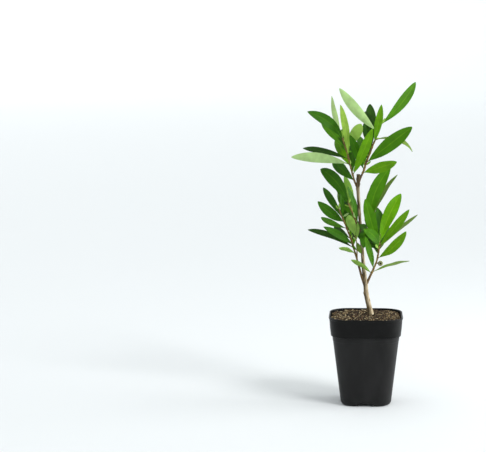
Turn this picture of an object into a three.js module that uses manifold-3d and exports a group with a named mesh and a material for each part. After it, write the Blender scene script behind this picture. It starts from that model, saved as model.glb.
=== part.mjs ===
import * as THREE from "three";
import { mergeVertices } from "three/addons/utils/BufferGeometryUtils.js";
import Module from "manifold-3d";

// A young bottlebrush in a square nursery pot. Millimetres and degrees, +Z up.
// The origin is the middle of the pot's underside. The front faces -Y, and +X is to the right of it.

const pot = {
  height: 122.7,
  rimHalf: 50.6, // half the width across the top of the rim
  bandHeight: 25.8, // the wide band under the rim
  bandFootHalf: 47.8,
  bodyTopHalf: 45.7, // just under the band
  baseHalf: 34.2,
  baseRound: 5, // the rounded bottom edge
  baseCurve: [[0, 0.8], [0.3, 0.25], [1, 0]], // heights and insets of that edge, in shares of baseRound
  wall: 1.8,
  lip: 0.6, // rounding of the rim's edge
  squareness: 4, // exponent of the squared circle that every level of the pot follows
  sides: 48,
  floorUnder: 4.8, // height of the channels under the floor
  floorTop: 7.2,
  channelTop: 13, // width of a channel at the floor
  channelFoot: 26, // and where it meets the ground
  middleFoot: 6, // radius of the round foot in the middle
  drainRadius: 4,
  drainOut: 22, // from the middle of the floor
  holeSides: 16,
};

const soil = {
  level: 121,
  flatShare: 0.86, // the level part, as a share of the way out to the wall
  edgeDrop: 0.8, // how far it falls from there to the wall
  gap: 0.3,
};

const limbGap = 0.3; // between the trunk and every limb that leaves it

const trunk = {
  path: [[7.2, 1, 121.3], [2.9, 1, 140], [0.5, 1, 152], [-0.2, 1, 161], [-1.7, 0.8, 175], [-3.2, 0.5, 191],
    [-5.3, 0, 219], [-7.9, 0, 251], [-9.3, 0, 274], [-10.6, 0, 295], [-10, 0, 316.5]],
  radii: [3.7, 3.5, 3.2, 2.8, 2.4, 2.2, 2.1, 2.1, 2.3, 2.6], // at even steps along the trunk
  flare: 1.1, // how much wider the root flare is at the soil
  flareHeight: 4,
  buried: 0.2, // length that the level cut takes off, as a share of the path's first stretch
  sides: 12,
  steps: 26,
};

const boughs = {
  lower_left_bough: {
    path: [[-1.2, 1, 162], [-5, 0.5, 173], [-8.3, 0, 185], [-11.4, -0.5, 196.7]],
    radii: [1.9, 1.35],
  },
  lower_right_bough: { path: [[-0.4, 1, 161], [3.4, 1, 170], [7.4, 1, 178.7]], radii: [2, 1.5] },
  upper_left_bough: { path: [[-10.5, 0, 296], [-12.9, -0.7, 301], [-14.9, -1.4, 305.7]], radii: [1.6, 1.3] },
  upper_right_bough: { path: [[-10.3, 0, 302], [-8, 0, 309.5], [-4.9, 0, 316.7]], radii: [1.6, 1.4] },
};
const boughSides = 9;
const boughSteps = 5;

const leafShape = {
  petiole: 0.06, // share of the length that is stalk
  petioleHalf: 0.75,
  halfThick: [0.65, 0.35], // at the root and at the tip
  fullest: 1.25, // over 1 puts the widest place above the middle
  blunt: 0.66, // under 1 fills out the two ends
  fold: 0.16, // how far the edges rise beside the midrib
  bow: 18, // degrees that a leaf bends along its length, where it has no bow of its own
  steps: 24, // along the line that a leaf follows
  stations: [0, 0.07, 0.2, 0.36, 0.55, 0.74, 0.9], // its sections, before the tip
};

// Further leaves that fill the crown out, in the same degrees and millimetres
const further = {
  wide: [0.19, 0.24], // shares of the leaf's length
  turn: [-35, 35],
  sickle: [-12, 12],
  tries: 60, // for each leaf, before it is left out
  room: 3.5, // clear of every limb and leaf that is already there
  rootRoom: 9, // but not this close to its own root
};

// A leaf leaves its stem at a share of the stem's length. Its side angle is measured in the front view
// from straight up, to the right. Its back angle leans it away from the front. It is turned about its own
// length: 0 shows the upper face to the front, 180 the underside. It bows away from its upper face, and
// curves sideways like a sickle. "more" tells how many further leaves lean to the rear, from which share of
// the stem on, and the least and most of their angles and length. They stay inside the mass's space.
const masses = {
  lower_left_foliage: {
    stem: [[-11.5, -0.5, 197], [-15.5, -1, 211], [-18.9, -1.5, 223], [-27.1, -2.5, 245], [-32.6, -3, 259],
      [-37, -4, 269]],
    radii: [1.25, 0.8],
    twig: { from: 0.02, path: [[-12.1, -5, 214], [-12.6, -8, 224], [-14.8, -9, 233]], radii: [0.95, 0.7] },
    leaves: [
      { at: 0.80, side: -36, back: 45, long: 69, wide: 10, turn: 10 },
      { at: 0.74, side: -46, back: -45, long: 68.5, wide: 13.5, turn: 0, sickle: 8 },
      { at: 0.96, side: -10, back: 46, long: 38, wide: 6, turn: 74 },
      { at: 0.84, side: -4, back: -42, long: 46, wide: 8, turn: 45 },
      { at: 0.62, side: -72.5, back: 46, long: 55, wide: 8.5, turn: 20, sickle: 16 },
      { at: 0.24, side: -73, back: 32, long: 81, wide: 10, turn: 35, sickle: -18 },
      { at: 0.30, side: -52, back: -46, long: 72, wide: 10, turn: 15, sickle: -10 },
      { at: 0.42, side: -61, back: 50, long: 42, wide: 9, turn: 0 },
      { at: 0.14, side: -63, back: -50, long: 38, wide: 8, turn: 150 },
      { at: 0.95, side: -15, back: -50, long: 54, wide: 12, turn: 180, onTwig: true },
      { at: 0.75, side: 155, back: -50, long: 24, wide: 7, turn: 0, onTwig: true },
      { at: 0.80, side: 4, back: -20, long: 27, wide: 6, turn: 160, onTwig: true },
    ],
    more: { count: 8, from: 0.25, side: [-26, 14], back: [38, 68], long: [44, 66] },
    space: { low: [-92, -66, 196], high: [0, 66, 300] },
  },
  lower_right_foliage: {
    stem: [[7.5, 1, 179], [11.2, 1, 187], [15.3, 0.8, 198], [17.4, 0.5, 209], [18.1, 0.2, 216],
      [18.6, 0, 222]],
    radii: [1.4, 0.85],
    leaves: [
      { at: 0.02, side: -51.5, back: -40, long: 46.5, wide: 8.5, turn: 150 },
      { at: 0.16, side: -13, back: -46, long: 77, wide: 9, turn: 20 },
      { at: 0.06, side: 82, back: 46, long: 77, wide: 9, turn: -74, bow: 14 },
      { at: 0.52, side: 40, back: -46, long: 84, wide: 13, turn: 5, sickle: -16 },
      { at: 0.85, side: 53, back: 32, long: 80, wide: 10, turn: -62, bow: 8 },
      { at: 0.90, side: 35.5, back: -36, long: 84.5, wide: 11.5, turn: 0, sickle: -2 },
      { at: 0.97, side: 25, back: 25, long: 80.5, wide: 18, turn: -15, sickle: 14 },
      { at: 0.92, side: -16, back: -20, long: 74, wide: 15.5, turn: 10, sickle: 10 },
      { at: 0.88, side: -38, back: -48, long: 54, wide: 13, turn: 15, sickle: -36 },
      { at: 0.76, side: -54, back: 46, long: 54, wide: 12, turn: 0 },
      { at: 0.97, side: -8, back: 22, long: 82, wide: 14, turn: 0, sickle: 30 },
    ],
    more: { count: 7, from: 0.6, side: [-30, 46], back: [38, 68], long: [50, 72] },
    capsule: { at: 0.36, out: [6, 0.5, -0.5], radius: 3.6, stalk: 0.9, segments: [10, 7] },
    space: { low: [-30, -66, 178], high: [80, 66, 300] },
  },
  middle_left_foliage: {
    stem: [[-9.9, -1.2, 243.6], [-14.5, -4, 254], [-19, -6, 266], [-23.5, -7, 277]],
    radii: [1.25, 0.85],
    leaves: [
      { at: 1.00, side: -42.5, back: 34, long: 73, wide: 18, turn: 0, sickle: -38 },
      { at: 0.60, side: -14, back: 46, long: 73, wide: 11, turn: 180, sickle: 10 },
      { at: 0.12, side: -13, back: -44, long: 82, wide: 9, turn: 50 },
      { at: 0.15, side: -11, back: 46, long: 53, wide: 9, turn: 40 },
    ],
    more: { count: 7, from: 0.1, side: [-46, -6], back: [38, 68], long: [50, 72] },
    space: { low: [-70, -66, 238], high: [-5, 66, 308] },
  },
  middle_right_foliage: {
    stem: [[-3.7, 0.2, 239], [-0.5, -2, 241], [3, -4, 243], [6, -5, 246.5]],
    radii: [1.25, 0.85],
    leaves: [
      { at: 1.00, side: 20, back: 0, long: 87, wide: 18.5, turn: 0, sickle: 46 },
      { at: 0.30, side: -44, back: -66, long: 34, wide: 11, turn: 20, bow: 60 },
      { at: 0.16, side: 182, back: -60, long: 46, wide: 12.5, turn: 0, bow: 70 },
      { at: 0.90, side: 30, back: 20, long: 84.5, wide: 11, turn: -56, sickle: 22 },
    ],
    more: { count: 7, from: 0.3, side: [4, 42], back: [38, 68], long: [50, 72] },
    space: { low: [-3, -66, 236], high: [60, 66, 335] },
  },
  upper_left_foliage: {
    stem: [[-15, -1.5, 306], [-19.5, -3, 322], [-22.9, -4, 336], [-26.3, -5, 350], [-29, -5, 357],
      [-31.5, -5, 366]],
    radii: [1.2, 0.8],
    leaves: [
      { at: 0.40, side: -84, back: 13, long: 85, wide: 14, turn: 180, sickle: 20 },
      { at: 0.53, side: -80, back: 40, long: 86, wide: 10, turn: 30, sickle: -4 },
      { at: 0.74, side: -44, back: 45, long: 72, wide: 12, turn: 15 },
      { at: 0.97, side: -50, back: -44, long: 86, wide: 14.5, turn: 5, sickle: -34 },
      { at: 0.78, side: -24, back: 50, long: 40, wide: 8, turn: 0 },
      { at: 1.00, side: -15, back: 35, long: 74, wide: 9, turn: 145, sickle: -36 },
      { at: 0.58, side: -8, back: -28, long: 82, wide: 10, turn: 20, sickle: -6 },
      { at: 0.76, side: 31.5, back: -40, long: 52.5, wide: 15, turn: 175 },
      { at: 0.16, side: 22, back: -33, long: 84, wide: 13.5, turn: 12 },
      { at: 0.02, side: -50, back: 48, long: 60, wide: 15, turn: 0 },
    ],
    more: { count: 8, from: 0.12, side: [-34, -2], back: [38, 68], long: [50, 72] },
    space: { low: [-104, -66, 300], high: [12, 66, 396] },
  },
  upper_right_foliage: {
    stem: [[-4.9, 0, 317], [-2.5, 0, 322], [0.3, 0, 332], [5.7, 0, 345], [9.8, 0, 356], [13.8, 0, 366],
      [17.9, 0, 379], [19.5, 0, 383]],
    radii: [1.35, 0.8],
    leaves: [
      { at: 0.02, side: 69.5, back: -35, long: 60, wide: 15, turn: 10, sickle: 2 },
      { at: 0.22, side: 51, back: -19, long: 84.5, wide: 19.5, turn: 5, sickle: 4 },
      { at: 1.00, side: 39.5, back: 20, long: 81, wide: 14, turn: 5, sickle: -18 },
      { at: 0.70, side: 110, back: 12, long: 62, wide: 9, turn: -50, bow: 100 },
      { at: 0.65, side: 10, back: -45, long: 76, wide: 10.5, turn: 10 },
      { at: 0.55, side: -3, back: 46, long: 83, wide: 15, turn: 0 },
      { at: 0.86, side: -41, back: 17, long: 84, wide: 14, turn: 180, sickle: -12 },
      { at: 0.08, side: -21, back: -28, long: 60, wide: 12, turn: 5 },
    ],
    more: { count: 8, from: 0.12, side: [-28, 6], back: [38, 68], long: [50, 72] },
    space: { low: [-40, -66, 310], high: [70, 66, 402] },
  },
};
const stemSides = 6;
const stemSteps = 7;
const fullTurn = 2 * Math.PI;

const colour = { pot: "#262626", soil: "#5b4838", bark: "#8b7a5a", twig: "#6f6042", leaf: "#4e8a1c" };

// Small helpers

const radians = THREE.MathUtils.degToRad;
const mix = THREE.MathUtils.lerp;
const vec = (p) => new THREE.Vector3(p[0], p[1], p[2]);

// The same draws on every run
const generator = { state: 2026, factor: 16807, modulus: 2147483647 };
function random(low, high) {
  generator.state = (generator.state * generator.factor) % generator.modulus;
  return mix(low, high, generator.state / generator.modulus);
}

// A closed geometry through rings of points that run anticlockwise about the way it grows
function loft(rings, tip) {
  const count = rings[0].length;
  const points = rings.flat();
  const last = (rings.length - 1) * count;
  const faces = [];
  for (let start = 0; start < last; start += count) {
    for (let i = 0; i < count; i++) {
      const [a, b] = [start + i, start + ((i + 1) % count)];
      faces.push(a, b, b + count, a, b + count, a + count);
    }
  }
  for (let i = 1; i < count - 1; i++) {
    faces.push(0, i + 1, i);
    if (!tip) faces.push(last, last + i, last + i + 1);
  }
  if (tip) {
    points.push(tip);
    for (let i = 0; i < count; i++) faces.push(last + i, last + ((i + 1) % count), points.length - 1);
  }
  const geometry = new THREE.BufferGeometry().setFromPoints(points);
  geometry.setIndex(faces);
  return geometry;
}

// Joining and cutting

const wasm = await Module();
wasm.setup();

function solid(geometry) {
  geometry.deleteAttribute("normal");
  geometry.deleteAttribute("uv");
  const merged = mergeVertices(geometry, 1e-4);
  const vertProperties = Float32Array.from(merged.attributes.position.array);
  const triVerts = Uint32Array.from(merged.index.array);
  return new wasm.Manifold(new wasm.Mesh({ numProp: 3, vertProperties, triVerts }));
}

function meshOf(name, shape, color, roughness) {
  const cut = shape.getMesh();
  const geometry = new THREE.BufferGeometry();
  geometry.setAttribute("position", new THREE.BufferAttribute(cut.vertProperties, 3));
  geometry.setIndex(new THREE.BufferAttribute(cut.triVerts, 1));
  geometry.computeVertexNormals();
  const mesh = new THREE.Mesh(geometry, new THREE.MeshStandardMaterial({ color, roughness, metalness: 0 }));
  mesh.name = name;
  return mesh;
}

// The pot and its soil

// One level of the pot: a squared circle of a half width at a height
function level(half, z) {
  const ring = [];
  const power = 2 / pot.squareness;
  for (let i = 0; i < pot.sides; i++) {
    const angle = (fullTurn * i) / pot.sides;
    const [c, s] = [Math.cos(angle), Math.sin(angle)];
    const x = Math.sign(c) * Math.abs(c) ** power * half;
    const y = Math.sign(s) * Math.abs(s) ** power * half;
    ring.push(new THREE.Vector3(x, y, z));
  }
  return ring;
}

const bandFoot = pot.height - pot.bandHeight;
const bodyHalf = (z) => mix(pot.baseHalf, pot.bodyTopHalf, z / bandFoot);
const bandHalf = (z) => mix(pot.bandFootHalf, pot.rimHalf, (z - bandFoot) / pot.bandHeight);

// The inside of the pot between two heights, held back from the wall by a gap
function hollow(bottom, top, gap) {
  const inset = pot.wall + gap;
  const ledge = bandFoot + pot.wall;
  return [
    level(bodyHalf(bottom) - inset, bottom),
    level(bodyHalf(bandFoot) - inset, bandFoot),
    level(bandHalf(ledge) - inset, ledge),
    level(bandHalf(top) - inset, top),
  ];
}

function makePot() {
  const outside = loft([
    ...pot.baseCurve.map(([up, inset]) => {
      const z = up * pot.baseRound;
      return level(bodyHalf(z) - inset * pot.baseRound, z);
    }),
    level(bodyHalf(bandFoot), bandFoot),
    level(pot.bandFootHalf, bandFoot),
    level(bandHalf(pot.height - pot.lip), pot.height - pot.lip),
    level(pot.rimHalf - pot.lip, pot.height),
  ]);
  const inside = loft(hollow(pot.floorTop, pot.height + 1, 0));
  return solid(outside).subtract(solid(inside)).subtract(channels()).subtract(drains());
}

// A round bar about the Z axis
function upright(radius, height) {
  return new THREE.CylinderGeometry(radius, radius, height, pot.holeSides).rotateX(Math.PI / 2);
}

// Two crossed channels under the floor leave a foot at each corner and a round one in the middle
function channels() {
  const reach = 2 * pot.rimHalf;
  const section = new THREE.Shape();
  const below = 1;
  section.moveTo(-pot.channelFoot / 2, -below);
  section.lineTo(pot.channelFoot / 2, -below);
  section.lineTo(pot.channelFoot / 2, 0);
  section.lineTo(pot.channelTop / 2, pot.floorUnder);
  section.lineTo(-pot.channelTop / 2, pot.floorUnder);
  section.lineTo(-pot.channelFoot / 2, 0);
  const along = new THREE.ExtrudeGeometry(section, { depth: reach, bevelEnabled: false });
  along.translate(0, 0, -reach / 2).rotateX(Math.PI / 2);
  const across = along.clone().rotateZ(Math.PI / 2);
  const foot = upright(pot.middleFoot, 3 * pot.floorUnder);
  return solid(along).add(solid(across)).subtract(solid(foot));
}

function drains() {
  const drilled = [0, 1, 2, 3].map((quarter) => {
    const hole = upright(pot.drainRadius, 2 * pot.floorTop);
    return solid(hole.translate(pot.drainOut, 0, pot.floorUnder).rotateZ((quarter * Math.PI) / 2));
  });
  return drilled.reduce((all, hole) => all.add(hole));
}

// The soil fills the pot and falls a little towards the wall
function makeSoil() {
  const rings = hollow(pot.floorTop + soil.gap, soil.level - soil.edgeDrop, soil.gap);
  const edge = bandHalf(soil.level) - pot.wall - soil.gap;
  rings.push(level(edge * soil.flatShare, soil.level));
  return solid(loft(rings));
}

// Limbs

// The radius at a share of a limb's length, from radii at even steps along it
function radiusAlong(radii, share) {
  const place = share * (radii.length - 1);
  const before = Math.min(Math.floor(place), radii.length - 2);
  return mix(radii[before], radii[before + 1], place - before);
}

function limb(path, radiusAt, sides, steps) {
  const curve = new THREE.CatmullRomCurve3(path);
  const frames = curve.computeFrenetFrames(steps);
  const rings = [];
  for (let k = 0; k <= steps; k++) {
    const centre = curve.getPointAt(k / steps);
    const radius = radiusAt(k / steps, centre);
    const ring = [];
    for (let i = 0; i < sides; i++) {
      const angle = (fullTurn * i) / sides;
      const point = centre.clone().addScaledVector(frames.normals[k], Math.cos(angle) * radius);
      ring.push(point.addScaledVector(frames.binormals[k], Math.sin(angle) * radius));
    }
    rings.push(ring);
  }
  return solid(loft(rings));
}

// The trunk's path starts a little under the soil, and a level cut ends it at the ground. Swollen by a gap
// it is what the boughs and stems are cut back from
function makeTrunk(swell) {
  const path = trunk.path.map(vec);
  const buried = path[0].clone().lerp(path[1], -trunk.buried);
  const ground = soil.level + soil.gap;
  const radiusAt = (share, centre) => {
    const height = Math.max(centre.z - ground, 0);
    return radiusAlong(trunk.radii, share) + trunk.flare * Math.exp(-height / trunk.flareHeight) + swell;
  };
  const whole = limb([buried, ...path], radiusAt, trunk.sides, trunk.steps);
  const block = 40;
  const under = new THREE.BoxGeometry(block, block, block).translate(path[0].x, path[0].y, ground - block / 2);
  return whole.subtract(solid(under));
}

function makeBough({ path, radii }) {
  return limb(path.map(vec), (share) => radiusAlong(radii, share), boughSides, boughSteps);
}

// Leaves

// Where a leaf runs: its points and the directions along it, off its upper face and to its edge
function leafLine(root, leaf) {
  const [side, back, turn] = [radians(leaf.side), radians(leaf.back), radians(leaf.turn)];
  const flat = Math.cos(back);
  const along = new THREE.Vector3(Math.sin(side) * flat, Math.sin(back), Math.cos(side) * flat);
  const face = new THREE.Vector3(0, -1, 0);
  face.addScaledVector(along, -face.dot(along)).normalize();
  face.applyAxisAngle(along, turn);
  const edge = along.clone().cross(face);
  const { steps } = leafShape;
  const point = root.clone();
  const line = [];
  for (let k = 0; k <= steps; k++) {
    const sickle = radians(leaf.sickle ?? 0) * (k / steps - 0.5);
    const bow = radians(leaf.bow ?? leafShape.bow) * (k / steps - 0.5);
    const onward = along.clone().multiplyScalar(Math.cos(sickle) * Math.cos(bow));
    onward.addScaledVector(edge, Math.sin(sickle)).addScaledVector(face, -Math.sin(bow)).normalize();
    const upper = face.clone().addScaledVector(onward, -face.dot(onward)).normalize();
    line.push({ share: k / steps, point: point.clone(), upper, edge: onward.clone().cross(upper) });
    point.addScaledVector(onward, leaf.long / steps);
  }
  return line;
}

// Half the width of a leaf at a share of its length
function halfWidth(leaf, share) {
  if (share <= leafShape.petiole) return leafShape.petioleHalf;
  const blade = (share - leafShape.petiole) / (1 - leafShape.petiole);
  const swell = Math.sin(Math.PI * blade ** leafShape.fullest) ** leafShape.blunt;
  return Math.max((leaf.wide / 2) * swell, leafShape.petioleHalf * (1 - blade));
}

// A lance-shaped blade, folded a little along its midrib
function leafSolid(line, leaf) {
  const rings = leafShape.stations.map((share) => {
    const { point, upper, edge } = line[Math.round(share * leafShape.steps)];
    const half = halfWidth(leaf, share);
    const rise = share > leafShape.petiole ? half * leafShape.fold : 0;
    const thick = mix(...leafShape.halfThick, share);
    return [
      point.clone().addScaledVector(edge, half).addScaledVector(upper, rise),
      point.clone().addScaledVector(upper, -thick),
      point.clone().addScaledVector(edge, -half).addScaledVector(upper, rise),
      point.clone().addScaledVector(upper, thick),
    ];
  });
  return solid(loft(rings, line.at(-1).point));
}

// Points spread over a leaf, to tell how near it comes to what is there
function leafSpread(line, leaf) {
  const spread = [];
  for (let k = 2; k < line.length; k += 2) {
    const { point, edge, share } = line[k];
    const half = halfWidth(leaf, share);
    for (const across of [-1, -0.5, 0, 0.5, 1]) {
      spread.push(point.clone().addScaledVector(edge, half * across));
    }
  }
  return spread;
}

// Foliage masses

const taken = []; // points on every limb and leaf that is there
const takenSpacing = 3;

function takeLimb(path) {
  const curve = new THREE.CatmullRomCurve3(path.map(vec));
  taken.push(...curve.getSpacedPoints(Math.ceil(curve.getLength() / takenSpacing)));
}

function fits(spread, root, space) {
  const box = new THREE.Box3(vec(space.low), vec(space.high));
  return spread.every((point) => {
    if (!box.containsPoint(point)) return false;
    if (point.distanceTo(root) < further.rootRoom) return true;
    return taken.every((other) => {
      return other.distanceTo(point) > further.room || other.distanceTo(root) < further.rootRoom;
    });
  });
}

const stemOf = (mass) => new THREE.CatmullRomCurve3(mass.stem.map(vec));
const twigOf = (mass) => {
  return new THREE.CatmullRomCurve3([stemOf(mass).getPointAt(mass.twig.from), ...mass.twig.path.map(vec)]);
};

// The leaves that a mass is known by come first, and are taken as they are
function placeLeaves(mass) {
  mass.placed = mass.leaves.map((leaf) => {
    const carrier = leaf.onTwig ? twigOf(mass) : stemOf(mass);
    const line = leafLine(carrier.getPointAt(leaf.at), leaf);
    taken.push(...leafSpread(line, leaf));
    return leafSolid(line, leaf);
  });
}

// Further leaves fill the crown out at the back wherever there is room for one
function placeMore(mass) {
  const { count, from, side, back, long } = mass.more;
  for (let n = 0; n < count; n++) {
    for (let attempt = 0; attempt < further.tries; attempt++) {
      const leaf = { at: random(from, 1), side: random(...side), back: random(...back) };
      leaf.long = random(...long);
      leaf.wide = leaf.long * random(...further.wide);
      leaf.turn = random(...further.turn);
      leaf.sickle = random(...further.sickle);
      const root = stemOf(mass).getPointAt(leaf.at);
      const line = leafLine(root, leaf);
      const spread = leafSpread(line, leaf);
      if (!fits(spread, root, mass.space)) continue;
      taken.push(...spread);
      mass.placed.push(leafSolid(line, leaf));
      break;
    }
  }
}

function makeStems(mass) {
  const taper = (radii) => (share) => radiusAlong(radii, share);
  const stems = [limb(mass.stem.map(vec), taper(mass.radii), stemSides, stemSteps)];
  if (mass.twig) stems.push(limb(twigOf(mass).points, taper(mass.twig.radii), stemSides, stemSteps));
  return stems;
}

// The round seed capsule on its short stalk
function makeCapsule(mass) {
  const { at, out, radius, stalk, segments } = mass.capsule;
  const root = stemOf(mass).getPointAt(at);
  const centre = root.clone().add(vec(out));
  const ball = new THREE.SphereGeometry(radius, ...segments).translate(centre.x, centre.y, centre.z);
  return [solid(ball), limb([root, centre], () => stalk, stemSides, 1)];
}

function makeMass(mass) {
  const pieces = [...makeStems(mass), ...mass.placed];
  if (mass.capsule) pieces.push(...makeCapsule(mass));
  return wasm.Manifold.union(pieces);
}

// The whole plant in its pot

const plant = new THREE.Group();
plant.name = "potted_bottlebrush";
plant.add(meshOf("pot", makePot(), colour.pot, 0.5));
plant.add(meshOf("soil", makeSoil(), colour.soil, 0.95));
plant.add(meshOf("trunk", makeTrunk(0), colour.bark, 0.8));

const trunkRoom = makeTrunk(limbGap);
for (const [name, bough] of Object.entries(boughs)) {
  plant.add(meshOf(name, makeBough(bough).subtract(trunkRoom), colour.twig, 0.8));
}

takeLimb(trunk.path);
Object.values(boughs).forEach((bough) => takeLimb(bough.path));
Object.values(masses).forEach((mass) => takeLimb(mass.stem));
Object.values(masses).forEach(placeLeaves);
Object.values(masses).forEach(placeMore);
for (const [name, mass] of Object.entries(masses)) {
  plant.add(meshOf(name, makeMass(mass).subtract(trunkRoom), colour.leaf, 0.5));
}

export default plant;
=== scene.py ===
import math

import bpy
import numpy as np
from mathutils import Euler, Matrix, Vector, noise


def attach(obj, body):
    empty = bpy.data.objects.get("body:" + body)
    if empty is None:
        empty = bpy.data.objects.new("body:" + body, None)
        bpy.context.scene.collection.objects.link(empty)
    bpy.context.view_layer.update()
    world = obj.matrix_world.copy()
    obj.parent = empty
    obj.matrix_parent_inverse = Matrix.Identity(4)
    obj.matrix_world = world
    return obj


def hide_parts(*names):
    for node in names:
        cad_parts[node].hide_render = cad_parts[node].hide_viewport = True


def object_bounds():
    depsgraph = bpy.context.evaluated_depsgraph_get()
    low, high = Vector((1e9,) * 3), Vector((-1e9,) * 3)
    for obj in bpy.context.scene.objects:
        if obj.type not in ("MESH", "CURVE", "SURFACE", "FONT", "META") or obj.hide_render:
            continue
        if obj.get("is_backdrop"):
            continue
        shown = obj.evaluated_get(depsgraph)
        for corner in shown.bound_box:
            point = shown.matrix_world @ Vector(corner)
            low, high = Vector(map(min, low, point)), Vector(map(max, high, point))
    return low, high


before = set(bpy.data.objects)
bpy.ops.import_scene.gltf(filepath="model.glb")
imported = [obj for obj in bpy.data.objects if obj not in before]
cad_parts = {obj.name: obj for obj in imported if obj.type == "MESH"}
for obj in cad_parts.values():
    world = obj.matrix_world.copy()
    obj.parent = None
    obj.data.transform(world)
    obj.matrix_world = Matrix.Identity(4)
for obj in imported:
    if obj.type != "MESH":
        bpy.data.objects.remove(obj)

# A young bottlebrush in a square nursery pot. The values below are millimetres and degrees unless they
# say otherwise, and the meshes are metres. The front faces -Y, and the pot stands on z = 0.

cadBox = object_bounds()
mm = 0.001
touching = 1e-6  # corners nearer than this, in metres, are merged

camera = {
    "lens": 100, "sensorWidth": 36,
    "place": (0, -1850, 446),
    "pitchDown": 6.17, "yawLeft": 5.228, "roll": -0.563,
}


def addCamera():
    pitch, yaw, roll = (math.radians(camera[key]) for key in ("pitchDown", "yawLeft", "roll"))
    sideways = Vector((math.cos(yaw), math.sin(yaw), 0))
    level = Vector((-math.sin(yaw), math.cos(yaw), 0))
    ahead = level * math.cos(pitch) - Vector((0, 0, 1)) * math.sin(pitch)
    upward = sideways.cross(ahead)
    right = sideways * math.cos(roll) + upward * math.sin(roll)
    up = upward * math.cos(roll) - sideways * math.sin(roll)
    bpy.ops.object.camera_add()
    eye = bpy.context.active_object
    eye.name = "camera"
    eye.data.lens = camera["lens"]
    eye.data.sensor_width = camera["sensorWidth"]
    eye.data.clip_end = 200
    place = Matrix.Translation(Vector(camera["place"]) * mm)
    eye.matrix_world = place @ Matrix((right, up, -ahead)).transposed().to_4x4()
    bpy.context.scene.camera = eye


# Working by hand

def deselectAll():
    if bpy.context.mode != "OBJECT":
        bpy.ops.object.mode_set(mode="OBJECT")
    bpy.ops.object.select_all(action="DESELECT")


def pickOnly(*pieces):
    deselectAll()
    for piece in pieces:
        piece.select_set(True)
    bpy.context.view_layer.objects.active = pieces[0]


def editAll(piece):
    pickOnly(piece)
    bpy.ops.object.mode_set(mode="EDIT")
    bpy.ops.mesh.select_mode(type="FACE")
    bpy.ops.mesh.select_all(action="SELECT")


def selectFaces(piece, test):
    bpy.ops.mesh.select_all(action="DESELECT")
    bpy.ops.object.mode_set(mode="OBJECT")
    for face in piece.data.polygons:
        face.select = test(face)
    bpy.ops.object.mode_set(mode="EDIT")


# Draws the selected faces from one level to the next. A level is a height and a size, and resize turns
# the growth of the size into the three scales
def drawThrough(levels, resize=lambda share: (share, share, 1), unit=mm):
    for (z0, size0), (z1, size1) in zip(levels, levels[1:]):
        bpy.ops.mesh.extrude_region_move(TRANSFORM_OT_translate={"value": (0, 0, (z1 - z0) * unit)})
        bpy.ops.transform.resize(value=resize(size1 / size0), center_override=(0, 0, z1 * unit))


def turnFaces(inwards=False):
    bpy.ops.mesh.select_all(action="SELECT")
    bpy.ops.mesh.normals_make_consistent(inside=inwards)
    bpy.ops.object.mode_set(mode="OBJECT")


def named(name):
    piece = bpy.context.active_object
    piece.name = name
    piece.data.name = name
    return piece


def applyAll(piece):
    pickOnly(piece)
    bpy.ops.object.transform_apply(location=True, rotation=True, scale=True)
    for modifier in list(piece.modifiers):
        bpy.ops.object.modifier_apply(modifier=modifier.name)


def smooth(piece, angle):
    pickOnly(piece)
    bpy.ops.object.shade_smooth_by_angle(angle=math.radians(angle))


def joined(name, pieces):
    pickOnly(*pieces)
    if len(pieces) > 1:
        bpy.ops.object.join()
    return named(name)


def finishPiece(piece, slot, *nodes):
    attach(piece, "root")
    if nodes:
        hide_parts(*nodes)


chance = {"step": 16807, "range": 2147483647}


# Deals out even chances, the same ones on each run
def drawsFrom(seed):
    state = [seed]

    def draw(low, high):
        state[0] = state[0] * chance["step"] % chance["range"]
        share = state[0] / chance["range"]
        return (1 - share) * low + share * high
    return draw


def between(low, high, share):
    return low + (high - low) * share


# Finishes

noiseSpan = (0.3, 0.7)  # most of a noise's values lie between these
bumpStrength = 0.8


def tone(red, green, blue):  # a screen colour as the shaders take it
    values = [c / 255 for c in (red, green, blue)]
    return [c / 12.92 if c <= 0.04045 else ((c + 0.055) / 1.055) ** 2.4 for c in values] + [1]


def toneRamp(nodes, tones, spread):
    ramp = nodes.new("ShaderNodeValToRGB")
    stops = ramp.color_ramp.elements
    for k, shade in enumerate(tones):
        at = between(*spread, k / max(len(tones) - 1, 1))
        stop = stops[k] if k < 2 else stops.new(at)
        stop.position = at
        stop.color = tone(*shade)
    return ramp


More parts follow.
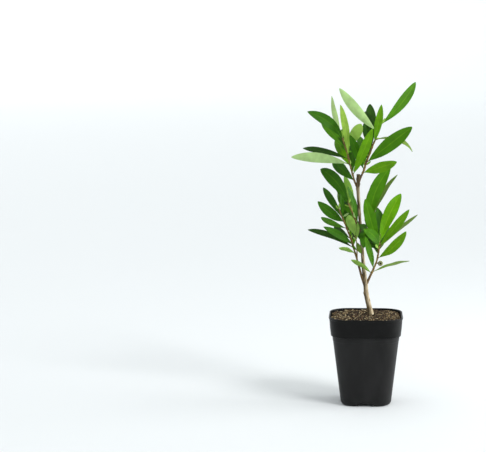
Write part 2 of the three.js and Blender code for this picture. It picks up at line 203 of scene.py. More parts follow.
# A finish of two or more tones in a noise of the given grain size, with uneven gloss and a fine relief.
# Where a piece's vertices carry the painted-light mark, the second set of tones takes over there: painted
# light on the lit side
def makeFinish(name, tones, grain, stretch=(1, 1, 1), rough=(0.4, 0.5), relief=0.05, reliefGrain=None,
               detail=4, spread=noiseSpan, specular=0.5, paintedLitSide=None):
    material = bpy.data.materials.new(name)
    material.use_nodes = True
    nodes, links = material.node_tree.nodes, material.node_tree.links
    shader = nodes["Principled BSDF"]
    shader.inputs["Specular IOR Level"].default_value = specular
    place = nodes.new("ShaderNodeTexCoord")
    mapping = nodes.new("ShaderNodeMapping")
    mapping.inputs["Scale"].default_value = stretch
    links.new(place.outputs["Object"], mapping.inputs["Vector"])

    mottle = nodes.new("ShaderNodeTexNoise")
    mottle.inputs["Scale"].default_value = 1 / (grain * mm)
    mottle.inputs["Detail"].default_value = detail
    links.new(mapping.outputs["Vector"], mottle.inputs["Vector"])
    ramp = toneRamp(nodes, tones, spread)
    links.new(mottle.outputs["Fac"], ramp.inputs["Fac"])
    # the painted lit side: a second set of tones, mixed in by the vertex mark
    if paintedLitSide:
        paleRamp = toneRamp(nodes, paintedLitSide, spread)
        mark = nodes.new("ShaderNodeAttribute")
        mark.attribute_name = "paintedLitSide"
        blend = nodes.new("ShaderNodeMixRGB")
        links.new(mottle.outputs["Fac"], paleRamp.inputs["Fac"])
        links.new(mark.outputs["Fac"], blend.inputs["Fac"])
        links.new(ramp.outputs["Color"], blend.inputs["Color1"])
        links.new(paleRamp.outputs["Color"], blend.inputs["Color2"])
        links.new(blend.outputs["Color"], shader.inputs["Base Color"])
    else:
        links.new(ramp.outputs["Color"], shader.inputs["Base Color"])

    gloss = nodes.new("ShaderNodeMapRange")
    for end, value in zip(("From Min", "From Max", "To Min", "To Max"), (*noiseSpan, *rough)):
        gloss.inputs[end].default_value = value
    links.new(mottle.outputs["Fac"], gloss.inputs["Value"])
    links.new(gloss.outputs["Result"], shader.inputs["Roughness"])

    grit = nodes.new("ShaderNodeTexNoise")
    grit.inputs["Scale"].default_value = 1 / ((reliefGrain or grain) * mm)
    grit.inputs["Detail"].default_value = detail
    bump = nodes.new("ShaderNodeBump")
    bump.inputs["Distance"].default_value = relief * mm
    bump.inputs["Strength"].default_value = bumpStrength
    links.new(mapping.outputs["Vector"], grit.inputs["Vector"])
    links.new(grit.outputs["Fac"], bump.inputs["Height"])
    links.new(bump.outputs["Normal"], shader.inputs["Normal"])
    return material


# The pot: its outline is a square with round corners, drawn up through levels of height and half width

pot = {
    "height": 122.7, "rimHalf": 50.6,
    "bandFoot": 96.9, "bandFootHalf": 47.8, "bodyTopHalf": 45.7,
    "baseHalf": 34.2, "baseRound": 5.5, "baseInset": 4,
    "wall": 1.8, "floorTop": 7.2,
    "corner": 0.54,  # radius of a corner, as a share of the half width
    "cornerSteps": 14,
    "moldLine": 90, "moldStep": 0.3, "moldSlope": 0.4,  # the faint step around the body
    "fillet": (0.5, 0.4),  # height and width of the fillet under the band
    # heights above the band's foot, and at the neck below the rim, and how far the wall stands in there
    "bandEdge": [(0, 0.7), (0.2, 0.2), (0.7, 0)], "bandBow": (12, 0.1),
    "rimNeck": [(3.4, 0.5), (2.6, 0.1)],
    "rimRoll": 1.1,  # radius of the rolled edge of the rim
    # inside: height below the rim and how far in, and about the floor, the height above it, the height of
    # the body whose width it takes, and how far in
    "insideTop": (3, 0.1), "insideFoot": [(2, 10, 0), (0.6, 8, 0.6), (0, 7, 2)],
    # heights and widths of the arched channels that part the feet
    "channel": [(-2, 33), (0, 28), (0.5, 26), (1.5, 22.5), (2.8, 19.5), (3.9, 16.5), (4.5, 13.5),
                (4.8, 10)],
    "middleFoot": 6, "drainRadius": 4, "drainOut": 22,
    "cutterHeight": 20, "channelReach": 2.2,  # enough for the cutters to go right through
    # the tones of the body, and of the darker band around the top
    "plastic": {"blackPlastic": [(23, 23, 23), (28, 28, 28), (35, 35, 35)],
                "bandPlastic": [(7, 7, 7), (9, 9, 9), (13, 13, 13)]},
}


def bodyHalf(z):
    return between(pot["baseHalf"], pot["bodyTopHalf"], z / pot["bandFoot"])


def bandHalf(z):
    share = (z - pot["bandFoot"]) / (pot["height"] - pot["bandFoot"])
    return between(pot["bandFootHalf"], pot["rimHalf"], share)


def potLevels():
    foot, top, roll, wall = pot["bandFoot"], pot["height"], pot["rimRoll"], pot["wall"]
    line, step, base = pot["moldLine"], pot["moldStep"], pot["baseRound"]
    levels = []
    for angle in range(0, 91, 15):  # the rounded bottom edge
        a = math.radians(angle)
        z = base * (1 - math.cos(a))
        levels.append((z, bodyHalf(z) - pot["baseInset"] * (1 - math.sin(a))))
    levels += [(z, bodyHalf(z)) for z in (30, 60)]
    high, wide = pot["fillet"]
    levels += [(line - pot["moldSlope"], bodyHalf(line)), (line, bodyHalf(line) + step),
               (foot - high, bodyHalf(foot) + step), (foot, bodyHalf(foot) + step + wide)]
    levels += [(foot + above, pot["bandFootHalf"] - inward) for above, inward in pot["bandEdge"]]
    above, inward = pot["bandBow"]
    levels.append((foot + above, bandHalf(foot + above) - inward))
    levels += [(top - below, bandHalf(top - below) - inward) for below, inward in pot["rimNeck"]]
    for angle in range(0, 181, 20):  # the rolled rim
        a = math.radians(angle)
        levels.append((top - roll + roll * math.sin(a), pot["rimHalf"] - roll + roll * math.cos(a)))
    below, inward = pot["insideTop"]
    levels += [(top - below, bandHalf(top) - 2 * roll - inward), (foot + wall, bandHalf(foot) - wall),
               (foot, bodyHalf(foot) - wall)]
    for above, widthAt, inward in pot["insideFoot"]:
        levels.append((pot["floorTop"] + above, bodyHalf(widthAt) - wall - inward))
    return levels


def roundedSquare(half, z, name):
    deselectAll()
    bpy.ops.mesh.primitive_plane_add(size=2 * half * mm, location=(0, 0, z * mm))
    piece = named(name)
    applyAll(piece)
    editAll(piece)
    bpy.ops.mesh.bevel(offset=pot["corner"] * half * mm, segments=pot["cornerSteps"], affect="VERTICES")
    bpy.ops.mesh.select_all(action="SELECT")
    return piece


# Two crossed channels under the floor, which leave a foot at each corner and a round one in the middle
def channelCutter():
    bars = []
    levels = pot["channel"]
    for turn in (0, 90):
        deselectAll()
        bpy.ops.mesh.primitive_plane_add(size=1, location=(0, 0, levels[0][0] * mm))
        bar = named("channel_bar")
        bar.scale = (levels[0][1] * mm, pot["channelReach"] * pot["rimHalf"] * mm, 1)
        applyAll(bar)
        editAll(bar)
        drawThrough(levels, lambda share: (share, 1, 1))
        turnFaces()
        bar.rotation_euler.z = math.radians(turn)
        applyAll(bar)
        bars.append(bar)
    cutter = bars[0]
    combine(cutter, bars[1], "UNION")
    combine(cutter, roundBar("middle_foot", pot["middleFoot"], 0, 0, 0), "DIFFERENCE")
    return cutter


def roundBar(name, radius, x, y, z):
    deselectAll()
    bpy.ops.mesh.primitive_cylinder_add(vertices=40, radius=radius * mm, depth=pot["cutterHeight"] * mm,
                                        location=(x * mm, y * mm, z * mm))
    bar = named(name)
    applyAll(bar)
    return bar


def combine(piece, tool, operation):
    boolean = piece.modifiers.new("combine", "BOOLEAN")
    boolean.operation = operation
    boolean.object = tool
    boolean.solver = "EXACT"
    applyAll(piece)
    bpy.data.objects.remove(tool)


def makePot():
    levels = potLevels()
    piece = roundedSquare(levels[0][1], levels[0][0], "nursery_pot")
    drawThrough(levels)
    bpy.ops.mesh.select_all(action="SELECT")
    bpy.ops.mesh.remove_doubles(threshold=touching)
    turnFaces()
    combine(piece, channelCutter(), "DIFFERENCE")
    for quarter in range(4):
        a = math.radians(90 * quarter)
        x, y = pot["drainOut"] * math.cos(a), pot["drainOut"] * math.sin(a)
        combine(piece, roundBar("drain", pot["drainRadius"], x, y, 3), "DIFFERENCE")
    piece.data.materials.clear()
    for name, tones in pot["plastic"].items():
        piece.data.materials.append(makeFinish(name, tones, 22, stretch=(1, 1, 0.35), rough=(0.36, 0.46),
                                               relief=0.04, reliefGrain=0.6, spread=(0.25, 0.75),
                                               specular=0.14))
    for face in piece.data.polygons:
        face.material_index = 1 if face.center.z > (pot["bandFoot"] - pot["moldSlope"] / 2) * mm else 0
    smooth(piece, 28)
    finishPiece(piece, "pot_plastic", "pot")


# The soil: a rough bed that fills the pot, under loose crumbs of bark

soil = {
    "level": 121, "gap": 0.35, "edgeIn": 0.5,
    "edgeDrop": 2.6, "edge": (0.8, 0.2),  # where it starts to drop, and over how much of the half width
    "cells": 84,
    "swell": 0.9, "swellGrain": 14,  # broad unevenness
    "grit": 0.55, "gritGrain": 2.2, "gritLayer": 5,
    "sideIn": 2.3,
    "foot": (0.4, 8, 3.2),  # height above the floor, the height whose width it takes, and how far in
    # x, y, radius and depth of the dark hollow behind the trunk's left side and of the mound at its foot
    "hollow": (-1.5, 15, 7, 3.6), "mound": (7.2, 1, 9, 1.2),
    "tones": [(30, 22, 15), (62, 48, 33), (100, 80, 56)],
}


def squircle(x, y):  # half the width of the rounded square that a point lies on
    return (abs(x) ** 4 + abs(y) ** 4) ** 0.25


def soilHalf():
    return bandHalf(soil["level"]) - pot["wall"] - soil["gap"] - soil["edgeIn"]


def soilHeight(x, y):
    place = Vector((x, y, 0))
    z = soil["level"] + soil["swell"] * noise.noise(place / soil["swellGrain"])
    for (cx, cy, radius, depth), way in ((soil["hollow"], -1), (soil["mound"], 1)):
        z += way * depth * math.exp(-((x - cx) ** 2 + (y - cy) ** 2) / radius ** 2 * 2)
    out = squircle(x, y) / soilHalf()
    start, over = soil["edge"]
    return z - soil["edgeDrop"] * max(0, out - start) / over


def makeSoilBed():
    deselectAll()
    half = soilHalf()
    bpy.ops.mesh.primitive_grid_add(x_subdivisions=soil["cells"], y_subdivisions=soil["cells"], size=2)
    piece = named("soil_bed")
    applyAll(piece)
    for vertex in piece.data.vertices:
        x, y, z = vertex.co
        out = max(abs(x), abs(y))
        if out > 0:
            share = half * out / squircle(x, y)
            x, y = x * share, y * share
        rough = soil["grit"] * noise.noise(Vector((x, y, soil["gritLayer"])) / soil["gritGrain"])
        vertex.co = Vector((x, y, soilHeight(x, y) + rough)) * mm
    editAll(piece)
    neck, inward = pot["bandFoot"], soil["sideIn"]
    above, widthAt, footIn = soil["foot"]
    levels = [(soil["level"], half), (neck + pot["wall"], bandHalf(neck) - inward),
              (neck, bodyHalf(neck) - inward), (pot["floorTop"] + above, bodyHalf(widthAt) - footIn)]
    drawThrough(levels, lambda share: (share, share, 0))
    turnFaces()
    piece.data.materials.append(makeFinish("dampSoil", soil["tones"], 1.4, rough=(0.8, 0.98), relief=0.5,
                                           reliefGrain=0.7, specular=0.2))
    smooth(piece, 60)
    finishPiece(piece, "bark_mix", "soil")


crumbs = {
    "count": 3400, "shapes": 6, "seed": 515,
    "size": (0.4, 1.35),  # half the width of a crumb
    "long": (1, 1.9), "thick": (0.45, 0.85), "tilt": 0.5,
    "sunk": (-0.3, 0.9), "proud": 1,  # how far up it stands, and how far past the rim at most
    "clear": 0.8,  # how far it keeps from the wall, in shares of its half length
    "round": 0.45, "rough": {"offset": 0.22, "uniform": 0.6, "normal": 0.3},
    # tones, and the share of the crumbs that have each
    "tones": {"crumbDark": ((42, 32, 23), 0.32), "crumbBrown": ((82, 64, 46), 0.34),
              "crumbRed": ((98, 72, 50), 0.12), "crumbTan": ((160, 138, 100), 0.2),
              "crumbPale": ((200, 184, 146), 0.09)},
    "darker": 0.72,  # each crumb's darker tone
}


def makeCrumbShapes():
    shapes = []
    for k in range(crumbs["shapes"]):
        deselectAll()
        bpy.ops.mesh.primitive_cube_add(size=2, location=(0, 0, 0))
        chip = named("crumb_shape")
        editAll(chip)
        bpy.ops.mesh.subdivide(number_cuts=1)
        bpy.ops.transform.tosphere(value=crumbs["round"])
        bpy.ops.transform.vertex_random(**crumbs["rough"], seed=k + 3)
        bpy.ops.object.mode_set(mode="OBJECT")
        corners = np.array([vertex.co for vertex in chip.data.vertices])
        faces = [tuple(face.vertices) for face in chip.data.polygons]
        shapes.append((corners / np.abs(corners).max(), faces))
        bpy.data.objects.remove(chip)
    return shapes


# Joins copies of meshes into one piece: each part is its corners in millimetres, faces and face materials
def pieceFromParts(name, parts, materials):
    corners, faces, kinds, start = [], [], [], 0
    for points, sides, finish in parts:
        corners.append(points)
        faces += [tuple(i + start for i in side) for side in sides]
        kinds += finish
        start += len(points)
    mesh = bpy.data.meshes.new(name)
    mesh.from_pydata((np.concatenate(corners) * mm).tolist(), [], faces)
    for material in materials:
        mesh.materials.append(material)
    mesh.polygons.foreach_set("material_index", kinds)
    mesh.update()
    piece = bpy.data.objects.new(name, mesh)
    bpy.context.scene.collection.objects.link(piece)
    return piece


def makeCrumbs():
    draw = drawsFrom(crumbs["seed"])
    shapes = makeCrumbShapes()
    names = list(crumbs["tones"])
    shares = np.cumsum([crumbs["tones"][name][1] for name in names])
    half, tilt = soilHalf(), crumbs["tilt"]
    parts = []
    while len(parts) < crumbs["count"]:
        x, y = draw(-half, half), draw(-half, half)
        size = between(*crumbs["size"], draw(0, 1) ** 2)
        turned = Euler((draw(-tilt, tilt), draw(-tilt, tilt), draw(0, 2 * math.pi))).to_matrix()
        scale = np.array([size * draw(*crumbs["long"]), size, size * draw(*crumbs["thick"])])
        kind = int(np.searchsorted(shares, draw(0, shares[-1])))
        sunk = draw(*crumbs["sunk"])
        corners, faces = shapes[len(parts) % len(shapes)]
        if squircle(x, y) > half - crumbs["clear"] * scale[0]:
            continue
        points = (corners * scale) @ np.array(turned).T + [x, y, soilHeight(x, y) + sunk]
        points[:, 2] = np.minimum(points[:, 2], pot["height"] + crumbs["proud"])
        parts.append((points, faces, [kind] * len(faces)))
    finishes = []
    for name, (shade, share) in crumbs["tones"].items():
        dark = tuple(int(c * crumbs["darker"]) for c in shade)
        finishes.append(makeFinish(name, [dark, shade], 1.2, rough=(0.75, 0.95), relief=0.25,
                                   reliefGrain=0.5, specular=0.25))
    piece = pieceFromParts("bark_crumbs", parts, finishes)
    smooth(piece, 40)
    finishPiece(piece, "bark_mix")
    print("Soil crumbs:", len(parts))


# The line that a limb follows: a centripetal spline through points, and even shares of its length

class Line:
    shares = np.arange(201) / 200

    def __init__(self, points):
        self.points = [np.array(p, float) for p in points]
        places = np.array([self.at(share) for share in self.shares])
        steps = np.linalg.norm(np.diff(places, axis=0), axis=1)
        self.lengths = np.concatenate([[0], np.cumsum(steps)])
        self.length = self.lengths[-1]

    def at(self, share):
        points = self.points
        place = (len(points) - 1) * share
        k = min(int(place), len(points) - 2)
        t = place - k
        p1, p2 = points[k], points[k + 1]
        p0 = points[k - 1] if k > 0 else 2 * points[0] - points[1]
        p3 = points[k + 2] if k + 2 < len(points) else 2 * points[-1] - points[-2]
        d0, d1, d2 = (math.sqrt(np.linalg.norm(b - a)) for a, b in ((p0, p1), (p1, p2), (p2, p3)))
        m1 = ((p1 - p0) / d0 - (p2 - p0) / (d0 + d1) + (p2 - p1) / d1) * d1
        m2 = ((p2 - p1) / d1 - (p3 - p1) / (d1 + d2) + (p3 - p2) / d2) * d1
        return p1 + m1 * t + (3 * (p2 - p1) - 2 * m1 - m2) * t ** 2 + (2 * (p1 - p2) + m1 + m2) * t ** 3

    def evenly(self, share):
        return self.at(float(np.interp(share * self.length, self.lengths, self.shares)))


def radiusAlong(radii, share):
    return float(np.interp(share * (len(radii) - 1), range(len(radii)), radii))


# A limb is a curve with a round bevel, made a mesh
def drawLimb(name, line, radiusAt, steps, roundness):
    deselectAll()
    bpy.ops.curve.primitive_nurbs_path_add(location=(0, 0, 0))
    limb = named(name)
    limb.data.splines.clear()
    spline = limb.data.splines.new("POLY")
    spline.points.add(steps)
    for k, point in enumerate(spline.points):
        place = line.evenly(k / steps)
        point.co = (*(place * mm), 1)
        point.radius = radiusAt(k / steps, place)
    limb.data.dimensions = "3D"
    limb.data.twist_mode = "MINIMUM"
    limb.data.bevel_depth = mm
    limb.data.bevel_resolution = roundness
    limb.data.use_fill_caps = True
    bpy.ops.object.convert(target="MESH")
    limb = named(name)
    editAll(limb)
    bpy.ops.mesh.remove_doubles(threshold=touching)  # closes the ends
    turnFaces()
    return limb


fineRelief = {"share": 0.45, "shorter": 2, "finer": 2.7}  # beside the grooves


# Pushes a limb's surface in and out along its normals, in grooves that run along it
def reliefOn(piece, depth, grain, stretch, lumps=()):
    shorter, finer = fineRelief["shorter"], fineRelief["finer"]
    for vertex in piece.data.vertices:
        place = vertex.co / mm
        groove = noise.noise(Vector((place.x, place.y, place.z / stretch)) / grain)
        fine = noise.noise(Vector((place.x, place.y, place.z / stretch * shorter)) / grain * finer)
        push = depth * (groove + fineRelief["share"] * fine)
        for centre, radius, height in lumps:
            push += height * math.exp(-((place - Vector(centre)).length / radius) ** 2)
        vertex.co += vertex.normal * push * mm


# Marks the painted lit side of the bark: painted light, in long patches, mostly down its right side
def paintLitSide(piece, patches):
    mesh = piece.data
    marks = mesh.attributes.new("paintedLitSide", "FLOAT", "POINT")
    for vertex, mark in zip(mesh.vertices, marks.data):
        place = vertex.co / mm
        patch = noise.noise(Vector((place.x, place.y, place.z / patches["stretch"])) / patches["grain"])
        height = min(place.z / patches["fadeTop"], 1)
        # painted light: paler where the bark faces right and to the front, towards the sun
        facing = vertex.normal.x * between(*patches["right"], height) - vertex.normal.y * patches["front"]
        fade = between(*patches["below"], height)
        fade -= max(place.z - patches["fadeTop"], 0) / patches["fadeOut"]
        mark.value = min(max(fade + facing + patches["uneven"] * patch, 0), 1)


# Trunk and boughs

trunk = {
    "path": [[7.2, 1, 121.3], [2.9, 1, 140], [0.5, 1, 152], [-0.2, 1, 161], [-1.7, 0.8, 175],
             [-3.2, 0.5, 191], [-5.3, 0, 219], [-7.9, 0, 251], [-9.3, 0, 274], [-10.6, 0, 295],
             [-10, 0, 316.5]],
    "radii": [3.7, 3.5, 3.2, 2.8, 2.4, 2.2, 2.1, 2.1, 2.3, 2.6],
    "buried": 0.3, "flare": 1.1, "flareHeight": 4,
    "steps": 240, "roundness": 10,
    "relief": 0.2, "grain": 1.3, "stretch": 7,
    # knots and old leaf scars: place, radius and height
    "lumps": [((-2.7, -0.5, 152), 2.2, 0.9), ((2.6, -1.5, 163), 2.2, 0.7), ((-4.8, 0, 191), 1.6, 0.5),
              ((-3.6, -1, 207), 1.3, 0.4), ((-7.4, 0.5, 224), 1.4, 0.5), ((-4.9, 0, 239), 2, 0.6),
              ((-9.6, -1, 243), 2, 0.6), ((-7.4, 0, 262), 1.4, 0.45), ((-11, 0, 279), 1.4, 0.5),
              ((-11.9, 0, 297), 2.2, 0.8), ((-8.9, 0, 303), 2.2, 0.7), ((-12, -1, 310), 1.8, 0.7),
              ((-8, -1, 313), 1.6, 0.5), ((-11.5, -2, 315), 1.4, 0.5), ((5.4, 0, 131), 1.8, 0.35)],
    # the pale side of the bark, which is painted light: how far it is drawn to the right side and how much
    # there is of it all round, at the ground and at a height of fadeTop, how fast it ends above that, how
    # far it is drawn forwards, and how uneven it is
    "patches": {"right": (1.05, 0.3), "below": (0.26, 0.1), "fadeTop": 298, "fadeOut": 6, "front": 0.1,
                "uneven": 0.7, "grain": 1.8, "stretch": 6},
    "cutAbove": 200, "cutRim": 0.5, "cutDepth": 0.5,  # the cut end: the one above this height
}

# path and radii
boughs = {
    "lower_left_bough": ([[-1.2, 1, 162], [-5, 0.5, 173], [-8.3, 0, 185], [-11.4, -0.5, 196.7]],
                         [1.9, 1.35]),
    "lower_right_bough": ([[-0.4, 1, 161], [3.4, 1, 170], [7.4, 1, 178.7]], [2, 1.5]),
    "upper_left_bough": ([[-10.5, 0, 296], [-12.9, -0.7, 301], [-14.9, -1.4, 305.7]], [1.6, 1.3]),
    "upper_right_bough": ([[-10.3, 0, 302], [-8, 0, 309.5], [-4.9, 0, 316.7]], [1.6, 1.4]),
}
boughBark = {"steps": 50, "roundness": 6, "relief": 0.12, "grain": 1, "stretch": 7}


def makeTrunk():
    path = np.array(trunk["path"], float)
    buried = path[0] + (path[0] - path[1]) * trunk["buried"]

    def radiusAt(share, place):
        above = max(place[2] - trunk["path"][0][2], 0)
        flare = trunk["flare"] * math.exp(-above / trunk["flareHeight"])
        return radiusAlong(trunk["radii"], share) + flare

    piece = drawLimb("trunk_bark", Line([buried, *path]), radiusAt, trunk["steps"], trunk["roundness"])
    reliefOn(piece, trunk["relief"], trunk["grain"], trunk["stretch"], trunk["lumps"])
    # paints the pale lit side onto the bark: painted light
    paintLitSide(piece, trunk["patches"])
    # the cut end, hollowed a little and dark
    editAll(piece)
    selectFaces(piece, lambda face: len(face.vertices) > 4 and face.center.z > trunk["cutAbove"] * mm)
    bpy.ops.mesh.inset(thickness=trunk["cutRim"] * mm)
    bpy.ops.transform.translate(value=(0, 0, -trunk["cutDepth"] * mm))
    bpy.ops.object.mode_set(mode="OBJECT")
    piece.data.materials.append(bark["old"])
    piece.data.materials.append(bark["cut"])
    for face in piece.data.polygons:
        face.material_index = 1 if face.select else 0
    smooth(piece, 50)
    finishPiece(piece, "bark", "trunk")

    for name, (path, radii) in boughs.items():
        bough = drawLimb(name + "_bark", Line(path), lambda share, place: radiusAlong(radii, share),
                         boughBark["steps"], boughBark["roundness"])
        reliefOn(bough, boughBark["relief"], boughBark["grain"], boughBark["stretch"])
        bough.data.materials.append(bark["young"])
        smooth(bough, 50)
        finishPiece(bough, "young_bark", name)


# Leaves: one blade is modelled, and copied along the line that each leaf follows

leafShape = {
    "petiole": 0.06, "petioleHalf": 0.75, "fullest": 1.25, "blunt": 0.66, "bow": 18, "steps": 24,
    "fold": 0.16, "foldPower": 1.5,
    # where a blade is divided along its length, and across it on both sides of the midrib
    "rows": [0.03, 0.06, 0.1, 0.16, 0.23, 0.31, 0.4, 0.5, 0.6, 0.7, 0.79, 0.87, 0.93, 0.965, 0.988],
    "columns": [0.07, 0.4, 0.75],
    "smallRows": [0.06, 0.2, 0.4, 0.6, 0.8, 0.94], "smallColumns": [0.1],
    "halfThick": 0.26, "rim": 0.05, "leastHalf": 0.16,
    "ribHeight": 0.3, "ribWidth": 0.16, "ribSink": 0.35,
    "stalkHalf": 0.55, "stalkFade": 1.6,
    "fullLong": 40,  # a leaf shorter than this is thinner too
    # of the margin: height in shares of the leaf's width, how many, their slant, and how fast they end
    "wave": 0.05, "waves": (1.2, 2.6), "waveSlant": 0.12, "waveEnd": 4,
}

# Leaves that a rule places at the back of each mass, where they find room. A mass may give its own values,
# and wide is in shares of the length
further = {"seed": 2026, "back": [38, 68], "long": [50, 72], "wide": [0.19, 0.24], "turn": [-35, 35],
           "sickle": [-12, 12], "tries": 60, "room": 3.5, "rootRoom": 9, "stemSteps": 3,
           "looks": ["mid", "deep", "bright", "deep", "dark"]}

# Small leaves in the axils and at the tips of the stems
leaflets = {"seed": 77, "every": 14, "from": 0.12, "to": 0.96, "spacing": (0.2, 0.8), "long": (6, 14),
            "wide": (0.22, 0.3), "side": 75, "back": 55, "turn": 60, "sickle": 25, "midShare": 0.4,
            "tips": 2, "tipLong": (8, 15), "tipSide": 40, "tipBack": 45}

# Upper face, midrib and underside of each look of leaf. The dark, deep, mid and bright looks are partly
# the leaves' own tones and partly painted shade and light: leaves that stand in shade are given the darker
# looks and lit leaves the brighter ones
looks = {
    "dark": ((36, 74, 2), (48, 86, 8), (150, 180, 110)),
    "deep": ((46, 94, 2), (62, 106, 10), (170, 202, 132)),
    "mid": ((66, 119, 4), (84, 134, 16), (168, 198, 126)),
    "bright": ((95, 150, 5), (114, 162, 22), (168, 200, 126)),
    "fresh": ((132, 168, 62), (148, 182, 76), (156, 196, 86)),
    "olive": ((98, 126, 44), (112, 138, 56), (128, 166, 72)),
}
# how far a tone varies, and how rough each part is
leafTone = {"darker": 0.93, "lighter": 1.05,
            "Upper": (0.46, 0.56), "Rib": (0.55, 0.65), "Under": (0.55, 0.65),
            "stalk": [(72, 54, 30), (98, 82, 42)]}


# A leaf's place along its stem from 0 to 1, the degrees that it leans to the right and to the back, its
# length and width, the degrees that it is turned about its own line, and its look
def leafAt(at, side, back, long, wide, turn, look, **more):
    return dict(at=at, side=side, back=back, long=long, wide=wide, turn=turn, look=look, **more)


